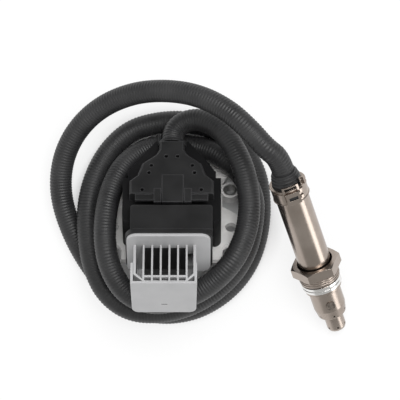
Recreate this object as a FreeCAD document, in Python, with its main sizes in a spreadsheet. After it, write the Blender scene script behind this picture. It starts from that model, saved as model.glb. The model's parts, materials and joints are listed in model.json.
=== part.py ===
import FreeCAD, Part
import math
import os
import re
import Sketcher
from FreeCAD import Placement, Rotation, Vector

# Nitrogen oxide sensor: a probe with a union nut, a corrugated conduit wound in loose turns,
# and a control unit that leans in the coil. All sizes are millimetres and degrees.
# The probe's own frame has +Z along its axis towards the measuring tip, and its zero at the
# face of the shell flange. The unit's own frame has +Y towards the cable neck, +Z up from the
# cover's face, and its zero at the top front edge of the connector block.

SIZES = {
    # probe, placed by the middle of its flange face, its heading on the floor and its slope
    "probe_x": 47.50, "probe_y": -23.80, "probe_height": 18.26,
    "probe_heading": -69.7, "probe_slope": 32.0,
    "nut_flats": 22.0, "nut_sides": 6, "nut_angle": 30, "nut_height": 5.2,
    "nut_bore_radius": 9.0, "nut_edge_chamfer": 1.2, "nut_edge_set": 0.2,
    "thread_radius": 10.0, "thread_length": 5.2, "thread_relief": 0.7,
    "gasket_radius": 9.95, "gasket_height": 3.5, "gasket_groove": 0.45, "gasket_fit": 0.15,
    "groove_half": 0.3, "face_fit": 0.02, "seat_gap": 0.1,
    "flange_radius": 9.3, "flange_height": 1.8,
    "shell_neck_radius": 8.55, "shell_neck_length": 5.4,
    "shell_length": 30.0, "shell_bore_radius": 5.0, "shell_step": 1.2,
    "shell_nose_length": 3.0, "tube_fit": 0.05,
    "sleeve_radius": 8.15, "sleeve_wall": 0.5,
    "guard_radius": 8.0, "guard_wall": 0.5, "guard_straight": 13.1, "guard_length": 18.2,
    "guard_end_radius": 7.1, "guard_round": 0.45, "guard_hole_radius": 0.5,
    "guard_hole_back": 1.6, "hole_count": 6,
    "tip_radius": 4.75, "tip_wall": 0.4, "tip_length": 28.1, "tip_fillet": 1.6,
    "tip_shoulder": 0.48, "tip_vent_radius": 0.7,
    "tip_hole_radius": 0.5, "tip_hole_back": 2.5, "tip_start": 3.6,
    "plug_radius": 2.15, "plug_height": 0.45, "plug_station": 9.1,
    "element_width": 4.0, "element_thick": 1.2, "element_top": 44.0, "element_end": 23.0,
    "lower_ceramic_end": 3.0, "lower_ceramic_start": 9.0, "talc_start": 15.0,
    "holder_radius": 6.4, "holder_length": 14.0, "lead_run": 7.6,
    "grommet_length": 11.0, "grommet_fit": 0.02,
    "sleeve_top": "=shell_length + holder_length + lead_run + grommet_length",
    "lead_radius": 0.8, "lead_circle": 3.4, "probe_lead_count": 8,
    "band_thick": 0.6, "band_width": 8.1, "band_fit": 0.1,
    "buckle_length": 7.0, "buckle_width": 6.4, "buckle_height": 1.5, "buckle_root": 2.2,
    "buckle_slot": 1.8, "buckle_slot_deep": 1.0, "buckle_rim": 1.2,
    "boot_length": 6.5, "boot_straight": 2.0, "boot_radius": 7.0, "boot_end_radius": 5.9,
    # control unit, placed by its zero and its tilt
    "unit_x": -26.60, "unit_y": 1.60, "unit_height": 60.0, "unit_tilt": 35.0,
    "case_half": 24.0,
    "cover_set": 3.5, "cover_half": "=case_half - cover_set", "cover_front": 23.0,
    "cover_height": 6.0, "cover_wall": 1.6, "cover_bevel": 0.9, "cover_shoulder": 30.8,
    "waist_set": 3.8, "cover_waist_half": "=cover_half - waist_set", "cover_waist": 34.3,
    "hip_set": 6.1, "cover_hip_half": "=cover_half - hip_set", "cover_hip": 41.2,
    "cover_neck_half": 6.1, "cover_neck": 49.6, "cover_end": 55.0,
    "slope_set": 1.5, "cover_slope_half": "=cover_neck_half + slope_set", "cover_slope": 46.7,
    "lip_set": 2.8, "lip_half": "=cover_half - lip_set", "lip_front": 19.4, "lip_top": 0.7,
    "lip_thick": 1.6,
    "tongue_left": 4.7, "tongue_right": 5.7, "latch_front": 17.6, "tongue_end": 33.8,
    "tab_width": 3.5, "tab_end": 25.7, "tab_gap": 0.4, "latch_raise": 0.45, "latch_thick": 1.6,
    "vent_radius": 0.9,
    "collar_radius": 7.1, "collar_start": 55.2, "collar_end": 57.0, "collar_axis": 7.0,
    "layer_height": 7.0, "layer_front": 36.6, "layer_side": 39.8, "layer_step": 46.4,
    "layer_end": 58.3, "layer_set": 2.5, "layer_half": "=case_half - layer_set",
    "step_set": 6.8, "layer_step_half": "=case_half - step_set",
    "neck_rim": 1.0, "layer_end_half": "=collar_radius + neck_rim",
    "spigot_radius": 5.8, "spigot_start": 48.0, "spigot_fit": 0.15, "collar_bore": 3.6,
    "case_front": 10.5, "case_side": 36.3, "case_wall": 2.0,
    "case_bottom": 28.0, "case_corner": 3.5, "cavity_side_set": 0.5, "cavity_layer_set": 1.0,
    "cavity_step_set": 1.2, "cavity_end_set": 2.8, "boss_radius": 2.9,
    "boss_set": 4.1, "boss_x": "=case_half - boss_set", "boss_front": 22.6,
    "boss_rear_set": 4.2, "boss_rear_x": "=layer_step_half - boss_rear_set",
    "boss_rear": 43.5, "screw_radius": 1.5, "screw_fit": 0.1,
    "screw_head_radius": 2.7, "screw_head_height": 1.6, "screw_length": 9.0,
    "plate_thick": 3.0, "plate_front": 3.2, "plate_waist": 34.5, "plate_rear": 60.0,
    "plate_reach": 0.8, "plate_waist_half": "=case_half + plate_reach",
    "rear_reach": 4.6, "plate_rear_half": "=case_half + rear_reach", "rear_slope": 5.0,
    "ear_reach": 9.2, "ear_half": "=case_half + ear_reach", "ear_front": 16.5,
    "ear_rear": 29.0, "ear_slope": 6.0, "ear_fillet": 4.0,
    "ear_hole_set": 4.3, "ear_hole_x": "=ear_half - ear_hole_set", "ear_hole_y": 22.3,
    "ear_hole_radius": 2.7,
    "lug_x": "=plate_rear_half", "lug_y": 43.6, "lug_radius": 4.6, "lug_height": 1.6,
    "bush_radius": 3.4, "bush_wall": 0.9,
    "fin_count": 3, "fin_first": 52.4, "fin_pitch": 2.85, "fin_thick": 1.2, "fin_height": 2.2,
    "fin_inner_set": 0.4, "fin_inner": "=layer_step_half + fin_inner_set",
    "fin_outer_set": 1.6, "fin_outer": "=plate_rear_half - fin_outer_set",
    "post_radius": 1.8, "post_height": 4.0, "post_x": 11.0, "post_front": 24.0,
    "post_rear": 37.0,
    "board_set": 2.4, "board_half": "=boss_x - boss_radius - board_set",
    "board_front": 20.0, "board_rear": 40.0, "board_thick": 1.6,
    "block_set": 4.15, "block_half": "=case_half - block_set", "block_depth": 16.15,
    "block_fit": 0.25, "block_corner": 1.6, "block_lap": 0.2,
    "rim_reach": 1.15, "rim_half": "=block_half + rim_reach", "rim_middle": -1.2,
    "rim_top": 0.4, "rim_bottom": 31.0, "rim_front": 0.5, "rim_depth": 2.7, "rim_corner": 5.5,
    "socket_set": 6.0, "socket_half": "=rim_half - socket_set", "socket_top": 5.0,
    "socket_bottom": 27.0, "socket_depth": 13.0, "socket_fit": 0.6,
    "seal_start": 2.0, "seal_width": 3.0,
    "pin_radius": 0.8, "pin_length": 5.0, "pin_count": 5, "pin_margin": 4.6,
    "pin_pitch": "=2 * (socket_half - pin_margin) / (pin_count - 1)",
    "cap_set": 0.8, "cap_half": "=rim_half - cap_set", "cap_middle": -1.4,
    "cap_bottom": 30.7, "cap_flange": 1.5, "cap_lap": 0.2,
    "cap_corner": 4.8, "cap_wall": 1.2, "skirt_wall": 1.3, "skirt_depth": 6.0,
    "hood_set": 4.25, "hood_half": "=cap_half - hood_set", "hood_middle": -3.6,
    "hood_taper": 0.5, "hood_top": 7.9,
    "hood_bottom": 33.5, "hood_front": 23.8, "hood_rear": 12.1, "hood_corner": 3.6,
    "window_left_set": 2.55, "window_left": "=hood_middle - hood_half + window_left_set",
    "window_right_set": 1.75, "window_right": "=hood_middle + hood_half - window_right_set",
    "window_top": 15.2, "window_bottom": 25.4, "window_reach": 0.5,
    "cheek_bottom": 29.0, "cheek_front": 18.6, "cheek_turn": 0.4, "floor_set": 0.4,
    "floor_lap": 0.01, "rib_count": 6, "rib_margin": 5.6, "rib_middle": -3.0,
    "rib_pitch": "=2 * (hood_half - rib_margin) / (rib_count - 1)",
    "rib_thick": 0.9, "rib_deep": 4.0,
    "bar_front": 20.2, "bar_width": 1.0, "bar_deep": 1.6, "bar_drop": 0.05,
    "ledge_top": 10.5,
    "mark_x": -3.5, "mark_z": 26.6, "mark_length": 3.0, "mark_width": 0.7, "mark_deep": 0.4,
    "unit_lead_count": 4, "unit_lead_length": 20.0, "lead_gap": 0.1,
    # how far a cutting outline starts outside what it cuts
    "over": 1.0,
    # conduit
    "conduit_radius": 5.5, "exit_run": 5.7, "entry_run": 8.0, "arc_share": 0.45,
}

doc = FreeCAD.newDocument("NitrogenOxideSensor")
sheet = doc.addObject("Spreadsheet::Sheet", "Sizes")
for row, (alias, value) in enumerate(SIZES.items(), start=1):
    sheet.set("A%d" % row, alias)
    sheet.set("B%d" % row, str(value))
    sheet.setAlias("B%d" % row, alias)
doc.recompute()

LABELS = []


def size(alias):
    """One number of the sheet."""
    return float(sheet.get(alias))


def bound(text):
    """The expression text with each alias written as the sheet's cell."""
    return re.sub(r"[a-z_]+", lambda hit: "Sizes." + hit.group()
                  if hit.group() in SIZES else hit.group(), str(text))


probe_place = Placement(
    Vector(size("probe_x"), size("probe_y"), size("probe_height")),
    Rotation(size("probe_heading"), 90 + size("probe_slope"), 0))
unit_place = Placement(
    Vector(size("unit_x"), size("unit_y"), size("unit_height")),
    Rotation(Vector(1, 0, 0), -size("unit_tilt")))


def new_body(label, place):
    """An empty body whose label names its file."""
    body = doc.addObject("PartDesign::Body", label)
    body.Label = label
    body.Placement = place
    LABELS.append(label)
    return body


def new_sketch(body, plane, height=None):
    """A sketch on an origin plane of its body, moved along the plane's normal by height."""
    sketch = body.newObject("Sketcher::SketchObject", body.Label + "_sketch")
    support = [part for part in body.Origin.OriginFeatures if part.Role == plane + "_Plane"]
    sketch.AttachmentSupport = [(support[0], "")]
    sketch.MapMode = "FlatFace"
    if height is not None:
        sketch.setExpression("AttachmentOffset.Base.z", bound(height))
    return sketch


def pin_point(sketch, edge, end, spot):
    """Hold one point of the sketch at a pair of expressions."""
    for kind, text in zip(("DistanceX", "DistanceY"), spot):
        index = sketch.addConstraint(Sketcher.Constraint(kind, -1, 1, edge, end, 1.0))
        sketch.setExpression("Constraints[%d]" % index, bound(text))


def add_polygon(sketch, corners):
    """A closed outline through the corners, each a pair of expressions."""
    first = sketch.GeometryCount
    count = len(corners)
    ring = [Vector(9 * math.cos(2 * math.pi * turn / count),
                   9 * math.sin(2 * math.pi * turn / count), 0) for turn in range(count)]
    for step in range(count):
        sketch.addGeometry(Part.LineSegment(ring[step], ring[(step + 1) % count]), False)
    for step in range(count):
        follower = first + (step + 1) % count
        sketch.addConstraint(Sketcher.Constraint("Coincident", first + step, 2, follower, 1))
    for step, corner in enumerate(corners):
        pin_point(sketch, first + step, 1, corner)


def add_circle(sketch, middle, radius):
    """A circle with its middle and radius bound to expressions."""
    edge = sketch.addGeometry(Part.Circle(Vector(0, 0, 0), Vector(0, 0, 1), 1), False)
    index = sketch.addConstraint(Sketcher.Constraint("Radius", edge, 1.0))
    sketch.setExpression("Constraints[%d]" % index, bound(radius))
    pin_point(sketch, edge, 3, middle)


def mirrored(half):
    """A whole outline from its right half, which runs from front to rear."""
    return list(half) + [("-(%s)" % across, along) for across, along in reversed(half)]


def box_corners(left, front, right, rear):
    """The four corners of a rectangle."""
    return [(left, front), (right, front), (right, rear), (left, rear)]


def pad(body, sketch, length, reverse=False):
    """Add material along the sketch's normal."""
    feature = body.newObject("PartDesign::Pad", body.Label + "_pad")
    feature.Profile = sketch
    feature.Reversed = reverse
    feature.setExpression("Length", bound(length))
    doc.recompute()
    return feature


def pocket(body, sketch, length, reverse=False):
    """Cut against the sketch's normal, or along it when reversed."""
    before = body.Shape.Volume
    feature = body.newObject("PartDesign::Pocket", body.Label + "_pocket")
    feature.Profile = sketch
    feature.Reversed = reverse
    feature.setExpression("Length", bound(length))
    doc.recompute()
    if body.Shape.Volume >= before:
        raise ValueError("a pocket of %s cut nothing" % body.Label)
    return feature


def revolve(body, corners):
    """A turned piece: the corners are pairs of radius and station on the body's Z axis."""
    sketch = new_sketch(body, "XZ")
    add_polygon(sketch, corners)
    feature = body.newObject("PartDesign::Revolution", body.Label + "_turn")
    feature.Profile = sketch
    feature.ReferenceAxis = (sketch, ["V_Axis"])
    feature.Angle = 360
    doc.recompute()
    return feature


def edges_along(shape, direction, wanted):
    """Names of the straight edges along a direction whose middle passes the test."""
    names = []
    for number, edge in enumerate(shape.Edges, start=1):
        if edge.Curve.TypeId != "Part::GeomLine":
            continue
        run = (edge.lastVertex().Point - edge.firstVertex().Point).normalize()
        if abs(abs(run.dot(direction)) - 1) < 1e-6 and wanted(edge.CenterOfMass):
            names.append("Edge%d" % number)
    return names


def circles_at(shape, station, radius):
    """Names of the round edges about Z at a station, with a radius."""
    names = []
    for number, edge in enumerate(shape.Edges, start=1):
        if edge.Curve.TypeId == "Part::GeomCircle" and abs(edge.Curve.Radius - radius) < 0.02 \
                and abs(edge.Curve.Center.z - station) < 0.02:
            names.append("Edge%d" % number)
    return names


def dress(body, kind, names, amount):
    """A Fillet or Chamfer on named edges of the body's last feature."""
    if not names:
        raise ValueError("no edges to dress on " + body.Label)
    base = body.Tip
    feature = body.newObject("PartDesign::" + kind, body.Label + "_" + kind.lower())
    feature.Base = (base, names)
    feature.setExpression("Radius" if kind == "Fillet" else "Size", bound(amount))
    doc.recompute()
    return feature


def local_shape(body):
    """The body's last shape in the body's own frame."""
    return body.Tip.Shape


def pattern_round(body, feature, count):
    """Copies of a feature round the body's Z axis."""
    pattern = body.newObject("PartDesign::PolarPattern", body.Label + "_round")
    pattern.Originals = [feature]
    axis = [part for part in body.Origin.OriginFeatures if part.Role == "Z_Axis"]
    pattern.Axis = (axis[0], [""])
    pattern.Angle = 360
    pattern.Occurrences = count
    body.Tip = pattern
    doc.recompute()
    return pattern


def finished(label, shape, place):
    """A piece whose shape is made by code, placed after its shape is set."""
    piece = doc.addObject("Part::Feature", label)
    piece.Label = label
    piece.Shape = shape
    piece.Placement = place
    LABELS.append(label)
    return piece


# Probe: what is turned

def make_union_nut():
    """Hexagon over a threaded shank, free to turn on the sleeve."""
    body = new_body("union_nut", probe_place)
    face = new_sketch(body, "XY", "-(gasket_height + thread_length + seat_gap)")
    corner = "nut_flats / sqrt(3)"
    add_polygon(face, [("%s * cos(%d * 360 / nut_sides + nut_angle)" % (corner, turn),
                        "%s * sin(%d * 360 / nut_sides + nut_angle)" % (corner, turn))
                       for turn in range(int(size("nut_sides")))])
    pad(body, face, "nut_height", reverse=True)
    shank = new_sketch(body, "XY", "-(gasket_height + seat_gap)")
    add_circle(shank, ("0", "0"), "thread_radius")
    pad(body, shank, "thread_length", reverse=True)
    bore = new_sketch(body, "XY", "over")
    add_circle(bore, ("0", "0"), "nut_bore_radius")
    pocket(body, bore, "nut_height + thread_length + gasket_height + seat_gap + 2 * over")
    top = "-(gasket_height + thread_length + seat_gap + nut_height)"
    rim = circles_at(local_shape(body), -size("gasket_height") - size("seat_gap"),
                     size("thread_radius"))
    dress(body, "Chamfer", rim, "thread_relief")
    trim = new_sketch(body, "XZ")
    inside = "nut_flats / 2 + nut_edge_set"
    outside = "nut_flats / sqrt(3) + over"
    add_polygon(trim, [(inside, top + " - over"), (outside, top + " - over"),
                       (outside, top + " + nut_edge_chamfer"), (inside, top)])
    groove = body.newObject("PartDesign::Groove", "union_nut_groove")
    groove.Profile = trim
    groove.ReferenceAxis = (trim, ["V_Axis"])
    groove.Angle = 360
    doc.recompute()


def make_gasket():
    """Folded sealing ring with a groove round its middle."""
    body = new_body("sealing_ring", probe_place)
    inner = "shell_neck_radius + gasket_fit"
    revolve(body, [
        (inner, "-gasket_height"), ("gasket_radius", "-gasket_height"),
        ("gasket_radius", "-gasket_height / 2 - groove_half"),
        ("gasket_radius - gasket_groove", "-gasket_height / 2"),
        ("gasket_radius", "-gasket_height / 2 + groove_half"), ("gasket_radius", "-face_fit"),
        (inner, "-face_fit")])


def make_shell():
    """Machined shell that holds the ceramic parts and carries both tubes."""
    body = new_body("sensor_shell", probe_place)
    spigot = "sleeve_radius - sleeve_wall"
    step = "shell_bore_radius - shell_step"
    nose = "tip_radius + tube_fit"
    revolve(body, [
        ("shell_bore_radius", "-shell_length"), (spigot, "-shell_length"),
        (spigot, "-shell_neck_length"), ("shell_neck_radius", "-shell_neck_length"),
        ("shell_neck_radius", "0"), ("flange_radius", "0"), ("flange_radius", "flange_height"),
        ("guard_radius - guard_wall", "flange_height"),
        ("guard_radius - guard_wall", "flange_height + shell_nose_length"),
        (nose, "flange_height + shell_nose_length"), (nose, "tip_start"), (step, "tip_start"),
        (step, "-lower_ceramic_end"), ("shell_bore_radius", "-lower_ceramic_end")])


def make_sleeve():
    """Thin stainless tube from the shell up to the clamp."""
    body = new_body("sleeve_tube", probe_place)
    inner = "sleeve_radius - sleeve_wall"
    revolve(body, [
        (inner, "-sleeve_top"), ("sleeve_radius", "-sleeve_top"),
        ("sleeve_radius", "-shell_neck_length"), (inner, "-shell_neck_length")])


def make_guard():
    """Outer protection tube with a tapered end, gas holes and the hole of the weld plug."""
    body = new_body("outer_protection_tube", probe_place)
    inner = "guard_radius - guard_wall"
    mouth = "tip_radius + tube_fit"
    revolve(body, [
        (inner, "flange_height"), ("guard_radius", "flange_height"),
        ("guard_radius", "guard_straight"), ("guard_end_radius", "guard_length"),
        (mouth, "guard_length"), (mouth, "guard_length - guard_wall"),
        ("guard_end_radius - guard_wall", "guard_length - guard_wall"),
        (inner, "guard_straight")])
    rim = circles_at(local_shape(body), size("guard_length"), size("guard_end_radius"))
    dress(body, "Fillet", rim, "guard_round")
    seat = new_sketch(body, "YZ", "-(guard_radius + over)")
    add_circle(seat, ("0", "plug_station"), "plug_radius")
    pocket(body, seat, "over + guard_wall + 2 * over", reverse=True)
    hole = new_sketch(body, "YZ", "-(guard_radius + over)")
    add_circle(hole, ("0", "guard_length - guard_hole_back"), "guard_hole_radius")
    cut = pocket(body, hole, "over + guard_wall + 2 * over", reverse=True)
    pattern_round(body, cut, int(size("hole_count")))


def make_tip():
    """Inner protection tube, closed and rounded at the end, with gas holes."""
    body = new_body("inner_protection_tube", probe_place)
    inner = "tip_radius - tip_wall"
    revolve(body, [
        (inner, "tip_start"), ("tip_radius", "tip_start"),
        ("tip_radius", "tip_length - tip_fillet"),
        ("tip_radius - tip_shoulder", "tip_length - tip_shoulder"),
        ("tip_radius - tip_fillet", "tip_length"), ("tip_vent_radius", "tip_length"),
        ("tip_vent_radius", "tip_length - tip_wall"),
        (inner + " - tip_fillet", "tip_length - tip_wall"),
        (inner, "tip_length - tip_fillet")])
    hole = new_sketch(body, "YZ", "-(tip_radius + over)")
    add_circle(hole, ("0", "tip_length - tip_hole_back"), "tip_hole_radius")
    cut = pocket(body, hole, "tip_wall + 2 * over", reverse=True)
    pattern_round(body, cut, int(size("hole_count")))


def make_plug():
    """Round plug welded in the wall of the outer protection tube."""
    body = new_body("weld_plug", probe_place)
    disc = new_sketch(body, "YZ", "-(guard_radius + plug_height)")
    add_circle(disc, ("0", "plug_station"), "plug_radius")
    pad(body, disc, "plug_height + 2 * guard_wall")


def make_ceramics():
    """The sensing strip, the ceramics and talc that hold it, and its contact holder."""
    body = new_body("ceramic_element", probe_place)
    strip = new_sketch(body, "XY", "-element_top")
    half = "element_width / 2"
    thin = "element_thick / 2"
    slot = box_corners("-" + half, "-" + thin, half, thin)
    add_polygon(strip, slot)
    pad(body, strip, "element_top + element_end")
    stack = (
        ("lower_insulator", "shell_bore_radius", "-lower_ceramic_start", "-lower_ceramic_end"),
        ("talc_packing", "shell_bore_radius", "-talc_start", "-lower_ceramic_start"),
        ("upper_insulator", "shell_bore_radius", "-shell_length", "-talc_start"),
        ("contact_holder", "holder_radius", "-(shell_length + holder_length)",
         "-shell_length"))
    for label, radius, start, end in stack:
        piece = new_body(label, probe_place)
        disc = new_sketch(piece, "XY", start)
        add_circle(disc, ("0", "0"), radius)
        pad(piece, disc, "(%s) - (%s)" % (end, start))
        hole = new_sketch(piece, "XY", "(%s) + over" % end)
        add_polygon(hole, slot)
        pocket(piece, hole, "(%s) - (%s) + 2 * over" % (end, start))


def make_probe_leads():
    """Leads in a ring from the contact holder to the grommet."""
    start = size("shell_length") + size("holder_length")
    end = size("sleeve_top") - size("grommet_length")
    leads = []
    count = int(size("probe_lead_count"))
    for turn in range(count):
        angle = 2 * math.pi * turn / count
        foot = Vector(size("lead_circle") * math.cos(angle),
                      size("lead_circle") * math.sin(angle), -start)
        leads.append(Part.makeCylinder(size("lead_radius"), end - start, foot, Vector(0, 0, -1)))
    finished("probe_leads", Part.makeCompound(leads), probe_place)


def make_grommet():
    """Rubber grommet in the end of the sleeve."""
    body = new_body("cable_grommet", probe_place)
    radius = "sleeve_radius - sleeve_wall - grommet_fit"
    revolve(body, [("0", "-sleeve_top"), (radius, "-sleeve_top"),
                   (radius, "-(sleeve_top - grommet_length)"),
                   ("0", "-(sleeve_top - grommet_length)")])


def make_boot():
    """Flared boot between the conduit and the sleeve."""
    body = new_body("conduit_boot", probe_place)
    revolve(body, [("0", "-(sleeve_top + boot_length)"),
                   ("boot_end_radius", "-(sleeve_top + boot_length)"),
                   ("boot_radius", "-(sleeve_top + boot_straight)"),
                   ("boot_radius", "-sleeve_top"),
                   ("0", "-sleeve_top")])


def make_band():
    """Clamp band with a raised rectangular buckle that has a slot."""
    body = new_body("band_clamp", probe_place)
    inner = "sleeve_radius + band_fit"
    revolve(body, [(inner, "-sleeve_top"), (inner + " + band_thick", "-sleeve_top"),
                   (inner + " + band_thick", "-(sleeve_top - band_width)"),
                   (inner, "-(sleeve_top - band_width)")])
    middle = "-(sleeve_top - band_width / 2)"
    raised = new_sketch(body, "YZ", "-(%s + band_thick + buckle_height)" % inner)
    half = "buckle_length / 2"
    add_polygon(raised, box_corners("-" + half, middle + " - buckle_width / 2", half,
                                    middle + " + buckle_width / 2"))
    pad(body, raised, "buckle_height + buckle_root")
    clean = new_sketch(body, "XY", "-(sleeve_top + over)")
    add_circle(clean, ("0", "0"), inner)
    pocket(body, clean, "band_width + 2 * over", reverse=True)
    slot = new_sketch(body, "YZ", "-(%s + band_thick + buckle_height + over)" % inner)
    add_polygon(slot, box_corners("-(%s - buckle_rim)" % half, middle + " - buckle_slot / 2",
                                  half + " - buckle_rim", middle + " + buckle_slot / 2"))
    pocket(body, slot, "buckle_slot_deep + over", reverse=True)


# Control unit

def bell_corners(inset):
    """The bell outline of the cable cover, drawn in by an inset."""
    half = [("cover_half", "cover_front", 1, 1), ("cover_half", "cover_shoulder", 1, -0.4),
            ("cover_waist_half", "cover_waist", 1, -0.6), ("cover_hip_half", "cover_hip", 1, -0.6),
            ("cover_slope_half", "cover_slope", 1, -0.6), ("cover_neck_half", "cover_neck", 1, 0),
            ("cover_neck_half", "cover_end", 1, -1)]
    return mirrored([("%s - %s * %s" % (across, inset, in_across),
                      "%s + (%s) * %s" % (along, in_along, inset))
                     for across, along, in_across, in_along in half])


# Each vent by the corner of the cover it is measured from, its inset and its distance on
VENTS = (("cover_hip_half", 11.6, "cover_hip", 3.9), ("cover_hip_half", 4.4, "cover_hip", -1.6),
         ("cover_hip_half", 3.3, "cover_waist", 1.0), ("cover_waist_half", 2.4, "cover_front", 2.2))


def make_cover():
    """Bell-shaped cable cover with vent holes, a latch tongue and two tabs."""
    body = new_body("cable_cover", unit_place)
    bell = new_sketch(body, "XY", "-cover_height")
    add_polygon(bell, bell_corners("0"))
    pad(body, bell, "cover_height")
    top_edges = [
        "Edge%d" % number for number, edge in enumerate(local_shape(body).Edges, start=1)
        if abs(edge.BoundBox.ZMin) < 1e-6 and edge.CenterOfMass.y > size("cover_front") + 0.1]
    dress(body, "Chamfer", top_edges, "cover_bevel")
    lip = new_sketch(body, "XY", "-(lip_top + lip_thick)")
    add_polygon(lip, box_corners("-lip_half", "lip_front", "lip_half", "cover_front + over"))
    pad(body, lip, "lip_thick")
    hollow = new_sketch(body, "XY", "-cover_height")
    add_polygon(hollow, bell_corners("cover_wall"))
    pocket(body, hollow, "cover_height - cover_wall", reverse=True)
    channel = new_sketch(body, "XZ", "-(cover_end + over)")
    add_circle(channel, ("0", "-collar_axis"), "spigot_radius + spigot_fit")
    pocket(body, channel, "cover_end + over - spigot_start", reverse=True)
    latch = new_sketch(body, "XY", "latch_raise - latch_thick")
    add_polygon(latch, box_corners("-tongue_left", "latch_front", "tongue_right", "tongue_end"))
    outer_left = "-(tongue_left + tab_gap)"
    add_polygon(latch, box_corners(outer_left + " - tab_width", "latch_front", outer_left,
                                   "tab_end"))
    add_polygon(latch, box_corners("tongue_right + tab_gap", "latch_front",
                                   "tongue_right + tab_gap + tab_width", "tab_end"))
    pad(body, latch, "latch_thick")
    vents = new_sketch(body, "XY", "over")
    for half, inset, corner, onward in VENTS:
        for side in (-1, 1):
            across = "%d * (%s - %s)" % (side, half, inset)
            add_circle(vents, (across, "%s + (%s)" % (corner, onward)), "vent_radius")
    pocket(body, vents, "cover_wall + 2 * over")


def layer_corners():
    """Outline of the layer under the cable cover."""
    return mirrored([("layer_half", "layer_front"), ("layer_half", "layer_side"),
                     ("layer_step_half", "layer_step"), ("layer_end_half", "layer_end")])


def make_layer():
    """Lower half of the cable exit, on the rear of the housing."""
    body = new_body("cable_cover_base", unit_place)
    layer = new_sketch(body, "XY", "-(cover_height + layer_height)")
    add_polygon(layer, layer_corners())
    pad(body, layer, "layer_height")
    channel = new_sketch(body, "XZ", "-(layer_end + over)")
    add_circle(channel, ("0", "-collar_axis"), "collar_radius + spigot_fit")
    pocket(body, channel, "layer_end + over - collar_start + spigot_fit", reverse=True)
    inner = new_sketch(body, "XZ", "-(layer_end + over)")
    add_circle(inner, ("0", "-collar_axis"), "spigot_radius + spigot_fit")
    pocket(body, inner, "layer_end + over - spigot_start", reverse=True)


def make_collar():
    """Round collar and spigot that the conduit's end sits on."""
    body = new_body("neck_collar", unit_place)
    collar = new_sketch(body, "XZ", "-collar_start")
    add_circle(collar, ("0", "-collar_axis"), "collar_radius")
    pad(body, collar, "collar_end - collar_start", reverse=True)
    spigot = new_sketch(body, "XZ", "-spigot_start")
    add_circle(spigot, ("0", "-collar_axis"), "spigot_radius")
    pad(body, spigot, "collar_start - spigot_start", reverse=True)
    bore = new_sketch(body, "XZ", "-(spigot_start - over)")
    add_circle(bore, ("0", "-collar_axis"), "collar_bore")
    pocket(body, bore, "collar_end - spigot_start + 2 * over")


SCREW_SPOTS = (("boss_x", "boss_front"), ("boss_rear_x", "boss_rear"))


def make_case():
    """Housing, open at the bottom, with a low rear and four screw bosses."""
    body = new_body("unit_housing", unit_place)
    front = [("block_half + block_fit", "block_depth + block_fit"),
             ("block_half + block_fit", "case_front"), ("case_half", "case_front"),
             ("case_half", "case_side")]
    low = new_sketch(body, "XY", "-case_bottom")
    add_polygon(low, mirrored(front + [
        ("layer_half", "layer_side"), ("layer_step_half", "layer_step"),
        ("layer_end_half", "layer_end")]))
    pad(body, low, "case_bottom - cover_height - layer_height")
    channel = new_sketch(body, "XZ", "-(layer_end + over)")
    add_circle(channel, ("0", "-collar_axis"), "collar_radius + spigot_fit")
    pocket(body, channel, "layer_end + over - collar_start + spigot_fit", reverse=True)
    high = new_sketch(body, "XY", "-case_bottom")
    add_polygon(high, mirrored(front))
    pad(body, high, "case_bottom - cover_height")
    corner = edges_along(local_shape(body), Vector(0, 0, 1),
                         lambda spot: abs(abs(spot.x) - size("case_half")) < 0.01
                         and abs(spot.y - size("case_front")) < 0.01)
    dress(body, "Fillet", corner, "case_corner")
    cavity = new_sketch(body, "XY", "-case_bottom")
    wall = "case_wall"
    add_polygon(cavity, mirrored([
        ("case_half - " + wall, "block_depth + block_fit + " + wall),
        ("case_half - " + wall, "case_side - cavity_side_set"),
        ("layer_half - " + wall, "layer_side - cavity_layer_set"),
        ("layer_step_half - " + wall, "layer_step - cavity_step_set"),
        ("layer_end_half - neck_rim", "layer_end - cavity_end_set")]))
    pocket(body, cavity, "case_bottom - cover_height - layer_height - " + wall, reverse=True)
    loft = new_sketch(body, "XY", "-case_bottom")
    add_polygon(loft, box_corners("-(case_half - case_wall)",
                                  "block_depth + block_fit + case_wall",
                                  "case_half - case_wall", "case_side - case_wall"))
    pocket(body, loft, "case_bottom - cover_height - case_wall", reverse=True)
    bosses = new_sketch(body, "XY", "-case_bottom")
    holes = new_sketch(body, "XY", "-case_bottom")
    for across, along in SCREW_SPOTS:
        for side in ("", "-"):
            add_circle(bosses, (side + across, along), "boss_radius")
            add_circle(holes, (side + across, along), "screw_radius")
    pad(body, bosses, "case_bottom - cover_height - layer_height - case_wall / 2")
    pocket(body, holes, "screw_length - plate_thick + over", reverse=True)


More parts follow.
